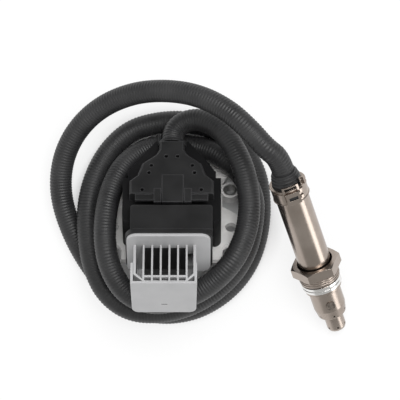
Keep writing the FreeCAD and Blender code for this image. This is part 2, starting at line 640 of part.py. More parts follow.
def make_plate():
    """Cast base with two ears, two round lugs, rear fins and posts for the board."""
    body = new_body("base_plate", unit_place)
    under = "-(case_bottom + plate_thick)"
    flat = new_sketch(body, "XY", under)
    add_polygon(flat, mirrored([
        ("plate_waist_half", "plate_front"), ("plate_waist_half", "ear_front - ear_slope"),
        ("ear_half", "ear_front"),
        ("ear_half", "ear_rear"), ("plate_waist_half", "plate_waist"),
        ("plate_waist_half", "lug_y + lug_radius"),
        ("plate_rear_half", "plate_rear - rear_slope"),
        ("plate_rear_half", "plate_rear")]))
    pad(body, flat, "plate_thick")
    ears = edges_along(local_shape(body), Vector(0, 0, 1),
                       lambda spot: abs(abs(spot.x) - size("ear_half")) < 0.01)
    dress(body, "Fillet", ears, "ear_fillet")
    lugs = new_sketch(body, "XY", under)
    bores = new_sketch(body, "XY", "-(case_bottom - lug_height - over)")
    for side in ("", "-"):
        add_circle(lugs, (side + "lug_x", "lug_y"), "lug_radius")
        add_circle(bores, (side + "lug_x", "lug_y"), "bush_radius")
        add_circle(bores, (side + "ear_hole_x", "ear_hole_y"), "ear_hole_radius")
        for across, along in SCREW_SPOTS:
            add_circle(bores, (side + across, along), "screw_radius + screw_fit")
    pad(body, lugs, "plate_thick + lug_height")
    pocket(body, bores, "plate_thick + lug_height + 2 * over")
    sinks = new_sketch(body, "XY", under)
    posts = new_sketch(body, "XY", "-case_bottom")
    for side in ("", "-"):
        for across, along in SCREW_SPOTS:
            add_circle(sinks, (side + across, along), "screw_head_radius + screw_fit")
        for along in ("post_front", "post_rear"):
            add_circle(posts, (side + "post_x", along), "post_radius")
    pocket(body, sinks, "screw_head_height", reverse=True)
    pad(body, posts, "post_height")
    fins = new_sketch(body, "XY", "-case_bottom")
    for turn in range(int(size("fin_count"))):
        front = "fin_first + fin_pitch * %d" % turn
        for left, right in (("fin_inner", "fin_outer"), ("-fin_outer", "-fin_inner")):
            add_polygon(fins, box_corners(left, front, right, front + " + fin_thick"))
    pad(body, fins, "fin_height")


def make_board():
    """Circuit board on the posts of the base."""
    body = new_body("circuit_board", unit_place)
    board = new_sketch(body, "XY", "-(case_bottom - post_height)")
    add_polygon(board, box_corners("-board_half", "board_front", "board_half", "board_rear"))
    pad(body, board, "board_thick")


def make_round_pieces():
    """Bushings of the lugs and screws of the base."""
    floor = -size("case_bottom") - size("plate_thick")
    up = Vector(0, 0, 1)
    bushes = []
    screws = []
    for side in (-1, 1):
        foot = Vector(side * size("lug_x"), size("lug_y"), floor)
        tall = size("plate_thick") + size("lug_height")
        outer = Part.makeCylinder(size("bush_radius"), tall, foot, up)
        bore = Part.makeCylinder(size("bush_radius") - size("bush_wall"), tall, foot, up)
        bushes.append(outer.cut(bore))
        for across, along in SCREW_SPOTS:
            foot = Vector(side * size(across), size(along), floor)
            head = Part.makeCylinder(size("screw_head_radius"), size("screw_head_height"), foot)
            shank = Part.makeCylinder(size("screw_radius"), size("screw_length"), foot)
            screws.append(head.fuse(shank).removeSplitter())
    finished("mount_bushings", Part.makeCompound(bushes), unit_place)
    finished("housing_screws", Part.makeCompound(screws), unit_place)


def make_block():
    """Connector block with a rounded rim and the socket recess."""
    body = new_body("connector_block", unit_place)
    rim = new_sketch(body, "XZ", "rim_front - rim_depth")
    add_polygon(rim, box_corners("rim_middle - rim_half", "-rim_bottom",
                                 "rim_middle + rim_half", "rim_top"))
    pad(body, rim, "rim_depth")
    dress(body, "Fillet", edges_along(local_shape(body), Vector(0, 1, 0), lambda spot: True),
          "rim_corner")
    block = new_sketch(body, "XY", "-case_bottom")
    add_polygon(block, box_corners("-block_half", "rim_depth - rim_front - block_lap",
                                   "block_half", "block_depth"))
    pad(body, block, "case_bottom")
    corners = edges_along(local_shape(body), Vector(0, 0, 1),
                          lambda spot: spot.y > size("block_depth") - 0.01)
    dress(body, "Fillet", corners, "block_corner")
    recess = new_sketch(body, "XZ", "rim_front + over")
    add_polygon(recess, box_corners("rim_middle - socket_half", "-socket_bottom",
                                    "rim_middle + socket_half", "-socket_top"))
    pocket(body, recess, "rim_front + over + socket_depth")


def make_pins_and_seal():
    """Contact pins on the socket's floor and the seal round the cap's skirt."""
    middle = -(size("socket_top") + size("socket_bottom")) / 2
    pins = []
    for turn in range(int(size("pin_count"))):
        across = size("rim_middle") + size("pin_pitch") * (turn - (size("pin_count") - 1) / 2)
        foot = Vector(across, size("socket_depth"), middle)
        pins.append(Part.makeCylinder(size("pin_radius"), size("pin_length"), foot,
                                      Vector(0, -1, 0)))
    finished("contact_pins", Part.makeCompound(pins), unit_place)
    seal = new_body("socket_seal", unit_place)
    ring = new_sketch(seal, "XZ", "-seal_start")
    for fit in ("0", "socket_fit"):
        add_polygon(ring, box_corners(
            "rim_middle - socket_half + " + fit, "-socket_bottom + " + fit,
            "rim_middle + socket_half - " + fit, "-socket_top - " + fit))
    pad(seal, ring, "seal_width", reverse=True)


def make_cap():
    """Protective cap: flange, skirt in the socket, hood with ribs and a cross bar."""
    body = new_body("protective_cap", unit_place)
    face = "rim_front + cap_flange"
    flange = new_sketch(body, "XZ", "rim_front")
    add_polygon(flange, box_corners("cap_middle - cap_half", "-cap_bottom",
                                    "cap_middle + cap_half", "0"))
    pad(body, flange, "cap_flange")
    corners = edges_along(local_shape(body), Vector(0, 1, 0), lambda spot: True)
    dress(body, "Fillet", corners, "cap_corner")
    skirt = new_sketch(body, "XZ", "-skirt_depth")
    add_polygon(skirt, box_corners(
        "rim_middle - socket_half + socket_fit", "-socket_bottom + socket_fit",
        "rim_middle + socket_half - socket_fit", "-socket_top - socket_fit"))
    pad(body, skirt, "skirt_depth + rim_front")
    hood = new_sketch(body, "XZ", "hood_rear")
    add_polygon(hood, [("hood_middle - hood_half", "-hood_top"),
                       ("hood_middle - hood_half + hood_taper", "-hood_bottom"),
                       ("hood_middle + hood_half - hood_taper", "-hood_bottom"),
                       ("hood_middle + hood_half", "-hood_top")])
    pad(body, hood, "hood_front - hood_rear")
    low = edges_along(local_shape(body), Vector(0, 1, 0),
                      lambda spot: abs(spot.z + size("hood_bottom")) < 0.01)
    dress(body, "Fillet", low, "hood_corner")
    inside = new_sketch(body, "XZ", "hood_rear")
    add_polygon(inside, [("hood_middle - hood_half + cap_wall", "-(hood_top - over)"),
                         ("hood_middle - hood_half + hood_taper + cap_wall",
                          "-(hood_bottom - cap_wall)"),
                         ("hood_middle + hood_half - hood_taper - cap_wall",
                          "-(hood_bottom - cap_wall)"),
                         ("hood_middle + hood_half - cap_wall", "-(hood_top - over)")])
    pocket(body, inside, "hood_front - hood_rear - cap_wall", reverse=True)
    first = "rib_middle - rib_pitch * (rib_count - 1) / 2"
    last = "rib_middle + rib_pitch * (rib_count - 1) / 2"
    cheeks = new_sketch(body, "XY", "-cheek_bottom")
    seat = "-(%s) + cap_lap" % face
    nose = "-(hood_front - cap_wall) - cap_lap"
    for edge, end, out in (("window_left", first, "-"), ("window_right", last, "+")):
        back = "+" if out == "-" else "-"
        add_polygon(cheeks, [
            ("%s %s cap_wall" % (edge, out), seat), ("%s %s cap_wall" % (edge, out), "-cheek_front"),
            (end, nose), ("%s %s cap_wall" % (end, back), nose),
            (edge, "-cheek_front + cheek_turn"), (edge, seat)])
    pad(body, cheeks, "cheek_bottom - hood_top")
    floor = new_sketch(body, "XY", "-(cheek_bottom + cap_wall)")
    add_polygon(floor, box_corners("window_left - cap_wall", "-(hood_front - floor_set)",
                                   "window_right + cap_wall", seat))
    pad(body, floor, "cap_wall + floor_lap")
    ribs = new_sketch(body, "XY", "-(hood_top + rib_deep)")
    for turn in range(int(size("rib_count"))):
        middle = "%s + rib_pitch * %d" % (first, turn)
        add_polygon(ribs, box_corners(middle + " - rib_thick / 2", "-(hood_front - cap_lap)",
                                      middle + " + rib_thick / 2", seat))
    pad(body, ribs, "rib_deep")
    bar = new_sketch(body, "XY", "-(hood_top + bar_deep)")
    add_polygon(bar, box_corners(first, "-bar_front", last, "-bar_front + bar_width"))
    pad(body, bar, "bar_deep - bar_drop")
    ledge = new_sketch(body, "XY", "-(ledge_top + cap_wall)")
    add_polygon(ledge, box_corners(first, "-(hood_front - cap_lap)", last, "-bar_front"))
    pad(body, ledge, "cap_wall")
    window = new_sketch(body, "XZ", "%s + window_reach" % face)
    add_polygon(window, box_corners("rim_middle - socket_half + socket_fit + skirt_wall",
                                    "-window_bottom",
                                    "window_right", "-window_top"))
    pocket(body, window, "%s + window_reach + skirt_depth - skirt_wall" % face)
    mark = new_sketch(body, "XZ", "hood_front")
    add_polygon(mark, box_corners("mark_x - mark_length / 2", "-mark_z - mark_width / 2",
                                  "mark_x + mark_length / 2", "-mark_z + mark_width / 2"))
    pocket(body, mark, "mark_deep")


def make_unit_leads():
    """Leads that lie under the cable cover, from the collar towards the connector."""
    leads = []
    count = int(size("unit_lead_count"))
    pitch = 2 * size("lead_radius") + 2 * size("lead_gap")
    for turn in range(count):
        foot = Vector((turn - (count - 1) / 2) * pitch, size("spigot_start"),
                      size("lead_radius") - size("cover_height"))
        leads.append(Part.makeCylinder(size("lead_radius"), size("unit_lead_length"), foot,
                                       Vector(0, -1, 0)))
    finished("unit_leads", Part.makeCompound(leads), unit_place)


# Conduit: the middle line from the collar of the unit, clockwise in loose turns, to the boot

ROUTE = (
    (-23.8, 53.7, 17.2), (-18.6, 56.6, 17.3), (-11.3, 56.9, 20.3), (-1.5, 51.3, 25.3),
    (6.7, 37.7, 31.0), (10.4, 25.5, 34.0), (11.6, 12.3, 36.0), (9.2, -0.9, 38.8),
    (2.7, -14.0, 40.4), (-9.2, -25.5, 35.4), (-22.6, -31.8, 32.6), (-36.3, -33.9, 33.3),
    (-49.0, -29.2, 33.9), (-56.8, -17.0, 35.0), (-59.5, -3.3, 36.4), (-59.1, 10.8, 31.8),
    (-56.2, 24.0, 24.5), (-50.0, 35.5, 17.0), (-39.7, 42.9, 9.5), (-26.7, 44.6, 5.9),
    (-14.1, 44.0, 6.4), (-2.9, 39.8, 11.4), (7.2, 31.2, 15.8), (14.0, 19.0, 17.6),
    (13.4, 5.3, 17.0), (10.4, -7.6, 17.0), (3.5, -19.5, 17.0), (-6.9, -28.9, 17.0),
    (-19.3, -35.8, 17.0), (-33.6, -38.8, 17.0), (-47.5, -37.8, 17.2), (-58.9, -29.8, 17.6),
    (-65.3, -17.5, 17.2), (-68.2, -2.6, 16.0), (-68.9, 12.2, 13.0), (-66.0, 27.3, 9.5),
    (-58.9, 41.3, 6.5), (-47.7, 52.0, 5.6), (-33.3, 56.0, 5.6), (-19.1, 56.4, 5.6),
    (-4.9, 53.0, 5.6), (7.3, 44.3, 5.6), (15.1, 31.1, 5.6), (17.3, 17.2, 5.6),
    (16.6, 3.2, 5.6), (13.1, -10.3, 5.6), (6.1, -22.3, 5.6), (-4.9, -32.2, 5.6),
    (-18.8, -38.7, 5.6), (-36.8, -39.7, 5.6), (-53.8, -31.7, 5.6), (-66.8, -16.8, 5.6),
    (-76.7, 0.7, 6.0), (-82.6, 19.6, 8.5), (-81.3, 37.0, 13.0), (-74.1, 51.7, 19.0),
    (-62.0, 62.9, 26.0), (-46.1, 69.4, 34.0), (-29.8, 70.5, 43.0), (-13.8, 67.8, 52.0),
    (0.6, 60.3, 59.0), (11.0, 50.6, 63.0), (18.9, 41.6, 62.6),
)


def conduit_route():
    """Corner points of the route, with its two ends set on the collar and on the boot."""
    collar = unit_place.multVec(Vector(0, size("collar_end"), -size("collar_axis")))
    boot = probe_place.multVec(Vector(0, 0, -(size("sleeve_top") + size("boot_length"))))
    leave = unit_place.Rotation.multVec(Vector(0, size("exit_run"), 0))
    arrive = probe_place.Rotation.multVec(Vector(0, 0, -size("entry_run")))
    return [collar, collar + leave] + [Vector(*spot) for spot in ROUTE] + [boot + arrive, boot]


def make_conduit():
    """One tube of straight runs joined by tangent arcs."""
    corners = conduit_route()
    edges = []
    start = corners[0]
    length = 0
    for before, corner, after in zip(corners, corners[1:], corners[2:]):
        into = (corner - before).normalize()
        away = (after - corner).normalize()
        turn = into.getAngle(away)
        reach = size("arc_share") * min((corner - before).Length, (after - corner).Length)
        radius = reach / math.tan(turn / 2)
        arc_start = corner - into * reach
        arc_end = corner + away * reach
        bulge = (away - into).normalize()
        middle = corner + bulge * (radius / math.cos(turn / 2) - radius)
        edges.append(Part.LineSegment(start, arc_start).toShape())
        edges.append(Part.Arc(arc_start, middle, arc_end).toShape())
        length += (arc_start - start).Length + radius * turn
        print("bend", [round(value, 1) for value in corner], "radius", round(radius, 1))
        start = arc_end
    edges.append(Part.LineSegment(start, corners[-1]).toShape())
    length += (corners[-1] - start).Length
    path = Part.Wire(edges)
    ring = Part.Circle(corners[0], (corners[1] - corners[0]).normalize(),
                       size("conduit_radius")).toShape()
    tube = path.makePipeShell([Part.Wire([ring])], True, False)
    section = math.pi * size("conduit_radius") ** 2
    print("conduit length", round(length, 1), "volume ratio",
          round(tube.Volume / (section * length), 4))
    finished("conduit", tube, Placement())


for make in (make_union_nut, make_gasket, make_shell, make_sleeve, make_guard, make_tip,
             make_plug, make_ceramics, make_probe_leads, make_grommet, make_boot, make_band,
             make_cover, make_layer, make_collar, make_case, make_plate, make_board,
             make_round_pieces, make_block, make_pins_and_seal, make_cap, make_unit_leads,
             make_conduit):
    make()

doc.recompute()
for thing in doc.Objects:
    if {"Invalid", "Error"} & set(thing.State):
        raise ValueError("failed: " + thing.Label)
os.makedirs("parts", exist_ok=True)
for label in LABELS:
    piece = doc.getObject(label)
    if piece.Shape.isNull() or not piece.Shape.isValid():
        raise ValueError("bad shape: " + label)
    piece.Shape.exportStep("parts/%s.step" % label)
    print(label, len(piece.Shape.Solids), round(piece.Shape.Volume, 1))
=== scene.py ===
import json
import math
import bpy
from mathutils import Matrix, Vector


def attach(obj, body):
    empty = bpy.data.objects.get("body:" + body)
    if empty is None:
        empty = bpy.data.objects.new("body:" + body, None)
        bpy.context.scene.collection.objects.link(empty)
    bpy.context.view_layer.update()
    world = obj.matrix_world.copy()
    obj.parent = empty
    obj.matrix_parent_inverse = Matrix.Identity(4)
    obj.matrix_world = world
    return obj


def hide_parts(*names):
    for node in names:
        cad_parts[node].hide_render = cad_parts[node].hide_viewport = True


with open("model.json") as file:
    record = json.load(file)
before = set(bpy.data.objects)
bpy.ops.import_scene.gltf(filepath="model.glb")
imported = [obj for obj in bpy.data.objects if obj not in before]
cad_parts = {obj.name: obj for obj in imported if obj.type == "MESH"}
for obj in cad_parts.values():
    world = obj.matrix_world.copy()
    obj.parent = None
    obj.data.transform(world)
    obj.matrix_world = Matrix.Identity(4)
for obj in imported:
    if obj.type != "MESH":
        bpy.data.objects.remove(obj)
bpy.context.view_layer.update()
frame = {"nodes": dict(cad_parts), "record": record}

# Nitrogen oxide sensor: a bright metal probe on a corrugated black conduit, which lies in loose
# turns round a control unit with a light grey protective cap. Lengths are metres.

MM = 0.001
nodes = frame["nodes"]
mounts = {mount["name"]: mount for mount in frame["record"]["mounts"]}

# The probe's own frame: +Z towards the tip, zero at the flange face. The thread mount's middle
# lies this far behind the flange, and the viewer's side of the probe is its -X side.
THREAD_MIDDLE = 6.55 * MM
probe_axis = Vector(mounts["probe_thread"]["axis"]).normalized()
probe_zero = Vector(mounts["probe_thread"]["pos_m"]) + probe_axis * THREAD_MIDDLE
probe_side = Vector((0, 0, 1)).cross(probe_axis).normalized()
probe_down = probe_side.cross(probe_axis).normalized()
PROBE = Matrix.Translation(probe_zero) @ Matrix(
    (probe_down, probe_side, probe_axis)).transposed().to_4x4()

# The unit's own frame: +Y towards the cable neck, +Z out of the cover's face, zero at the top
# front edge of the connector block.
EAR_ROW = 22.3 * MM
UNDERSIDE = 31.0 * MM
unit_up = -Vector(mounts["base_face"]["axis"]).normalized()
unit_rear = unit_up.cross(Vector((1, 0, 0))).normalized()
unit_zero = (Vector(mounts["base_ear_holes"]["pos_m"]) - unit_rear * EAR_ROW
             + unit_up * UNDERSIDE)
UNIT = Matrix.Translation(unit_zero) @ Matrix(
    (Vector((1, 0, 0)), unit_rear, unit_up)).transposed().to_4x4()


# Materials

BEVEL_SAMPLES = 6
# Painted highlight on edges: full where the rounded and flat normals' dot product falls to the
# turn, over a rounding spread this many times the bump's.
HIGHLIGHT_TURN = 0.9
HIGHLIGHT_SPREAD = 2.5

# Noise keeps to the middle of its range, so patterns are read from this low to this high.
NOISE_LOW = 0.3
NOISE_HIGH = 0.7
NOISE_ROUGH = 0.55

# Cells in each metre, and octaves, of the flow pattern, the grain and the tool marks.
FLOW_SCALE = 90
FLOW_DETAIL = 4
FLOW_DEPTH = 2
GRAIN_DETAIL = 2
MARK_SCALE = 1000
MARK_DETAIL = 3
MARK_ROUGH = 0.6


def new_tree(name):
    """A material's node tree and its shader."""
    material = bpy.data.materials.new(name)
    material.use_nodes = True
    tree = material.node_tree
    return material, tree, tree.nodes["Principled BSDF"]


def set_inputs(shader, values):
    """Set sockets of a node by name."""
    for name, value in values.items():
        shader.inputs[name].default_value = value


def place_of(tree, matrix=None, scale=(1, 1, 1)):
    """A point of the surface in a piece's own frame, stretched by a scale."""
    source = tree.nodes.new("ShaderNodeTexCoord").outputs["Object"]
    if matrix is not None:
        turn = tree.nodes.new("ShaderNodeMapping")
        back = matrix.inverted()
        turn.inputs["Location"].default_value = back.to_translation()
        turn.inputs["Rotation"].default_value = back.to_euler()
        tree.links.new(source, turn.inputs["Vector"])
        source = turn.outputs["Vector"]
    stretch = tree.nodes.new("ShaderNodeMapping")
    stretch.inputs["Scale"].default_value = scale
    tree.links.new(source, stretch.inputs["Vector"])
    return stretch.outputs["Vector"]


def noise(tree, place, scale, detail, rough=NOISE_ROUGH):
    """A noise pattern; the scale is its cells in each metre."""
    pattern = tree.nodes.new("ShaderNodeTexNoise")
    set_inputs(pattern, {"Scale": scale, "Detail": detail, "Roughness": rough})
    tree.links.new(place, pattern.inputs["Vector"])
    return pattern.outputs["Fac"]


def ranged(tree, source, low, high, start=NOISE_LOW, end=NOISE_HIGH):
    """The source, from start to end, spread over low to high."""
    spread = tree.nodes.new("ShaderNodeMapRange")
    set_inputs(spread, {"From Min": start, "From Max": end, "To Min": low, "To Max": high})
    tree.links.new(source, spread.inputs["Value"])
    return spread.outputs["Result"]


def tinted(tree, shader, source, dark, light):
    """The shader's colour, from dark to light as the source says."""
    ramp = tree.nodes.new("ShaderNodeValToRGB")
    ends = ramp.color_ramp.elements
    for end, position, colour in ((ends[0], NOISE_LOW, dark), (ends[1], NOISE_HIGH, light)):
        end.position = position
        end.color = (*colour, 1)
    tree.links.new(source, ramp.inputs["Fac"])
    tree.links.new(ramp.outputs["Color"], shader.inputs["Base Color"])
    return ramp.outputs["Color"]


def rounded_normal(tree, edge):
    """The surface's normal with its edges rounded to a radius."""
    rounded = tree.nodes.new("ShaderNodeBevel")
    rounded.samples = BEVEL_SAMPLES
    rounded.inputs["Radius"].default_value = edge
    return rounded.outputs["Normal"]


def bumped(tree, shader, heights, edge):
    """Bumps on the shader, each a source and its depth, over edges rounded to a radius."""
    normal = rounded_normal(tree, edge)
    for source, depth in heights:
        bump = tree.nodes.new("ShaderNodeBump")
        set_inputs(bump, {"Strength": 1.0, "Distance": depth})
        tree.links.new(source, bump.inputs["Height"])
        tree.links.new(normal, bump.inputs["Normal"])
        normal = bump.outputs["Normal"]
    tree.links.new(normal, shader.inputs["Normal"])


def edge_highlighted(tree, shader, colour, edge, highlight_gain):
    """The colour, lighter on the rounded edges: a painted highlight where edges catch the light.
    """
    flat = tree.nodes.new("ShaderNodeNewGeometry")
    turn = tree.nodes.new("ShaderNodeVectorMath")
    turn.operation = "DOT_PRODUCT"
    tree.links.new(rounded_normal(tree, edge), turn.inputs[0])
    tree.links.new(flat.outputs["True Normal"], turn.inputs[1])
    share = ranged(tree, turn.outputs["Value"], highlight_gain, 1.0, HIGHLIGHT_TURN, 1.0)
    lift = tree.nodes.new("ShaderNodeVectorMath")
    lift.operation = "SCALE"
    tree.links.new(colour, lift.inputs[0])
    tree.links.new(share, lift.inputs["Scale"])
    tree.links.new(lift.outputs["Vector"], shader.inputs["Base Color"])


def plastic(name, dark, light, roughness, grain, depth, edge, specular=0.5, highlight_gain=1.0):
    """Moulded plastic: a fine even grain, a faint flow pattern with varied gloss and, where
    asked, a painted highlight on the rounded edges.
    """
    material, tree, shader = new_tree(name)
    place = place_of(tree)
    flow = noise(tree, place, FLOW_SCALE, FLOW_DETAIL)
    fine = noise(tree, place, grain, GRAIN_DETAIL)
    colour = tinted(tree, shader, flow, dark, light)
    if highlight_gain > 1.0:
        edge_highlighted(tree, shader, colour, edge * HIGHLIGHT_SPREAD, highlight_gain)
    low, high = roughness
    tree.links.new(ranged(tree, flow, low, high), shader.inputs["Roughness"])
    shader.inputs["Specular IOR Level"].default_value = specular
    bumped(tree, shader, [(fine, depth), (flow, depth * FLOW_DEPTH)], edge)
    return material


def metal(name, dark, light, roughness, matrix, scale, depth, edge, spots=60, metallic=1.0):
    """Turned, drawn or cast metal: marks stretched by a scale in the piece's own frame."""
    material, tree, shader = new_tree(name)
    shader.inputs["Metallic"].default_value = metallic
    marks = noise(tree, place_of(tree, matrix, scale), MARK_SCALE, MARK_DETAIL, MARK_ROUGH)
    cloud = noise(tree, place_of(tree), spots, FLOW_DETAIL)
    tinted(tree, shader, cloud, dark, light)
    low, high = roughness
    tree.links.new(ranged(tree, cloud, low, high), shader.inputs["Roughness"])
    bumped(tree, shader, [(marks, depth)], edge)
    return material


def dress(names, material):
    """Give CAD nodes a finished material."""
    for name in names:
        node = nodes[name]
        node.data.materials.clear()
        node.data.materials.append(material)


black = plastic("black_moulded", dark=(0.0085, 0.0085, 0.009), light=(0.013, 0.013, 0.0135),
                roughness=(0.42, 0.56), grain=2600, depth=0.02 * MM, edge=0.3 * MM,
                specular=0.4, highlight_gain=4.2)
# Painted shade: a darker copy of the black for the cover's base and the housing, which lie in
# shade below the cover.
shaded_black = plastic("black_shaded", dark=(0.0025, 0.0025, 0.003), light=(0.0045, 0.0045, 0.005),
                     roughness=(0.50, 0.64), grain=2600, depth=0.02 * MM, edge=0.3 * MM,
                     specular=0.22, highlight_gain=2.4)
rim_black = plastic("black_gloss", dark=(0.010, 0.010, 0.0105), light=(0.015, 0.015, 0.0155),
                    roughness=(0.38, 0.50), grain=2600, depth=0.01 * MM, edge=0.4 * MM,
                    specular=0.4, highlight_gain=1.8)
grey = plastic("grey_moulded", dark=(0.385, 0.385, 0.39), light=(0.43, 0.43, 0.435),
               roughness=(0.40, 0.52), grain=1800, depth=0.01 * MM, edge=0.35 * MM, highlight_gain=1.2)
hose_black = plastic("conduit_black", dark=(0.018, 0.018, 0.019), light=(0.031, 0.031, 0.032),
                     roughness=(0.40, 0.56), grain=2200, depth=0.02 * MM, edge=0.15 * MM)
soft_black = plastic("seal_black", dark=(0.012, 0.012, 0.012), light=(0.02, 0.02, 0.02),
                     roughness=(0.7, 0.85), grain=1500, depth=0.02 * MM, edge=0.2 * MM)
# Dark liner in the cap's hood: the connector's face and painted shade.
face_and_shade_black = plastic("black_matt", dark=(0.024, 0.024, 0.0245), light=(0.031, 0.031, 0.0315),
                     roughness=(0.50, 0.62), grain=2600, depth=0.02 * MM, edge=0.2 * MM)
white_ceramic = plastic("fired_ceramic", dark=(0.72, 0.70, 0.66), light=(0.80, 0.78, 0.75),
                        roughness=(0.45, 0.6), grain=3000, depth=0.01 * MM, edge=0.1 * MM)
grey_talc = plastic("pressed_talc", dark=(0.42, 0.41, 0.38), light=(0.52, 0.50, 0.47),
                    roughness=(0.85, 0.95), grain=1200, depth=0.05 * MM, edge=0.1 * MM)
lead_grey = plastic("lead_jacket", dark=(0.09, 0.085, 0.08), light=(0.13, 0.12, 0.115),
                    roughness=(0.5, 0.6), grain=2000, depth=0.01 * MM, edge=0.1 * MM)
green_board = plastic("board_coat", dark=(0.01, 0.05, 0.02), light=(0.02, 0.08, 0.03),
                      roughness=(0.3, 0.4), grain=900, depth=0.03 * MM, edge=0.1 * MM)

# Marks run along a drawn tube, round a turned one and every way elsewhere.
DRAWN = (1.0, 1.0, 0.03)
TURNED = (0.02, 0.02, 2.0)
CAST = (0.9, 0.9, 0.9)
EVEN = (1, 1, 1)
NICKEL_DARK = (0.36, 0.305, 0.265)
NICKEL_LIGHT = (0.45, 0.39, 0.345)
drawn_nickel = metal("drawn_nickel", dark=NICKEL_DARK, light=NICKEL_LIGHT,
                     roughness=(0.20, 0.27), matrix=PROBE, scale=DRAWN,
                     depth=0.006 * MM, edge=0.15 * MM)
turned_nickel = metal("turned_nickel", dark=NICKEL_DARK, light=NICKEL_LIGHT,
                      roughness=(0.24, 0.33), matrix=PROBE, scale=TURNED,
                      depth=0.008 * MM, edge=0.2 * MM)
bright_ring = metal("bright_ring", dark=(0.78, 0.77, 0.75), light=(0.90, 0.89, 0.88),
                    roughness=(0.16, 0.24), matrix=PROBE, scale=TURNED,
                    depth=0.006 * MM, edge=0.2 * MM)
weld_nickel = metal("weld_nickel", dark=(0.14, 0.12, 0.105), light=(0.36, 0.31, 0.27),
                    roughness=(0.30, 0.45), matrix=PROBE, scale=EVEN,
                    depth=0.02 * MM, edge=0.2 * MM, spots=900)
cast_grey = metal("cast_aluminium", dark=(0.74, 0.73, 0.715), light=(0.86, 0.85, 0.835),
                  roughness=(0.42, 0.56), matrix=UNIT, scale=CAST,
                  depth=0.03 * MM, edge=0.4 * MM, spots=220, metallic=0.25)
zinc = metal("zinc_plated", dark=(0.50, 0.50, 0.48), light=(0.62, 0.62, 0.60),
             roughness=(0.28, 0.40), matrix=UNIT, scale=EVEN,
             depth=0.008 * MM, edge=0.2 * MM)
brass = metal("contact_brass", dark=(0.55, 0.40, 0.16), light=(0.70, 0.52, 0.24),
              roughness=(0.22, 0.32), matrix=UNIT, scale=EVEN,
              depth=0.005 * MM, edge=0.1 * MM)

dress(["cable_cover", "neck_collar"], black)
dress(["cable_cover_base", "unit_housing"], shaded_black)
dress(["connector_block"], rim_black)
dress(["protective_cap"], grey)
dress(["conduit", "conduit_boot"], hose_black)
dress(["cable_grommet", "socket_seal"], soft_black)
dress(["ceramic_element", "lower_insulator", "upper_insulator", "contact_holder"], white_ceramic)
dress(["talc_packing"], grey_talc)
dress(["probe_leads", "unit_leads"], lead_grey)
dress(["circuit_board"], green_board)
dress(["sleeve_tube", "band_clamp"], drawn_nickel)
dress(["union_nut", "sensor_shell", "outer_protection_tube", "inner_protection_tube"],
      turned_nickel)
dress(["sealing_ring"], bright_ring)
dress(["weld_plug"], weld_nickel)
dress(["base_plate"], cast_grey)
dress(["mount_bushings", "housing_screws"], zinc)
dress(["contact_pins"], brass)


# Conduit

CONDUIT_RADIUS = 5.5 * MM
RIB_DEPTH = 0.2 * MM
RIB_PITCH = 1.5 * MM

# One rib: shares of the pitch along the tube, each with its share of the rib's height.
RIB_FORM = ((0.0, 1.0), (0.38, 1.0), (0.56, 0.0), (0.82, 0.0))
RING_POINTS = 28

# The collar's rear end in the unit's frame, in millimetres.
NECK_LEVEL = -7.0
COLLAR_REAR = 57.0
COLLAR_END = Vector((0, COLLAR_REAR, NECK_LEVEL)) * MM
EXIT_RUN = 5.7 * MM
BOOT_END = -69.1 * MM
ENTRY_RUN = 8.0 * MM
LINE_STEPS = 24
LINE_ORDER = 3

# Control points between the neck and the boot, chosen along the turns in the photograph.
ROUTE = (
    (-0.0238, 0.0537, 0.0172), (-0.0186, 0.0566, 0.0173), (-0.0113, 0.0569, 0.0203),
    (-0.0015, 0.0513, 0.0253), (0.0067, 0.0377, 0.0310), (0.0104, 0.0255, 0.0340),
    (0.0116, 0.0123, 0.0360), (0.0092, -0.0009, 0.0388), (0.0027, -0.0140, 0.0404),
    (-0.0092, -0.0255, 0.0354), (-0.0226, -0.0318, 0.0326), (-0.0363, -0.0339, 0.0333),
    (-0.0490, -0.0292, 0.0339), (-0.0568, -0.0170, 0.0350), (-0.0595, -0.0033, 0.0364),
    (-0.0591, 0.0108, 0.0318), (-0.0562, 0.0240, 0.0245), (-0.0500, 0.0355, 0.0170),
    (-0.0397, 0.0429, 0.0095), (-0.0267, 0.0446, 0.0059), (-0.0141, 0.0440, 0.0064),
    (-0.0029, 0.0398, 0.0114), (0.0072, 0.0312, 0.0158), (0.0140, 0.0190, 0.0176),
    (0.0134, 0.0053, 0.0170), (0.0104, -0.0076, 0.0170), (0.0035, -0.0195, 0.0170),
    (-0.0069, -0.0289, 0.0170), (-0.0193, -0.0358, 0.0170), (-0.0336, -0.0388, 0.0170),
    (-0.0475, -0.0378, 0.0172), (-0.0589, -0.0298, 0.0176), (-0.0653, -0.0175, 0.0172),
    (-0.0682, -0.0026, 0.0160), (-0.0689, 0.0122, 0.0130), (-0.0660, 0.0273, 0.0095),
    (-0.0589, 0.0413, 0.0065), (-0.0477, 0.0520, 0.0056), (-0.0333, 0.0560, 0.0056),
    (-0.0191, 0.0564, 0.0056), (-0.0049, 0.0530, 0.0056), (0.0073, 0.0443, 0.0056),
    (0.0151, 0.0311, 0.0056), (0.0173, 0.0172, 0.0056), (0.0166, 0.0032, 0.0056),
    (0.0131, -0.0103, 0.0056), (0.0061, -0.0223, 0.0056), (-0.0049, -0.0322, 0.0056),
    (-0.0188, -0.0387, 0.0056), (-0.0368, -0.0397, 0.0056), (-0.0538, -0.0317, 0.0056),
    (-0.0668, -0.0168, 0.0056), (-0.0767, 0.0007, 0.0060), (-0.0826, 0.0196, 0.0085),
    (-0.0813, 0.0370, 0.0130), (-0.0741, 0.0517, 0.0190), (-0.0620, 0.0629, 0.0260),
    (-0.0461, 0.0694, 0.0340), (-0.0298, 0.0705, 0.0430), (-0.0138, 0.0678, 0.0520),
    (0.0006, 0.0603, 0.0590), (0.0110, 0.0506, 0.0630), (0.0189, 0.0416, 0.0626),
)


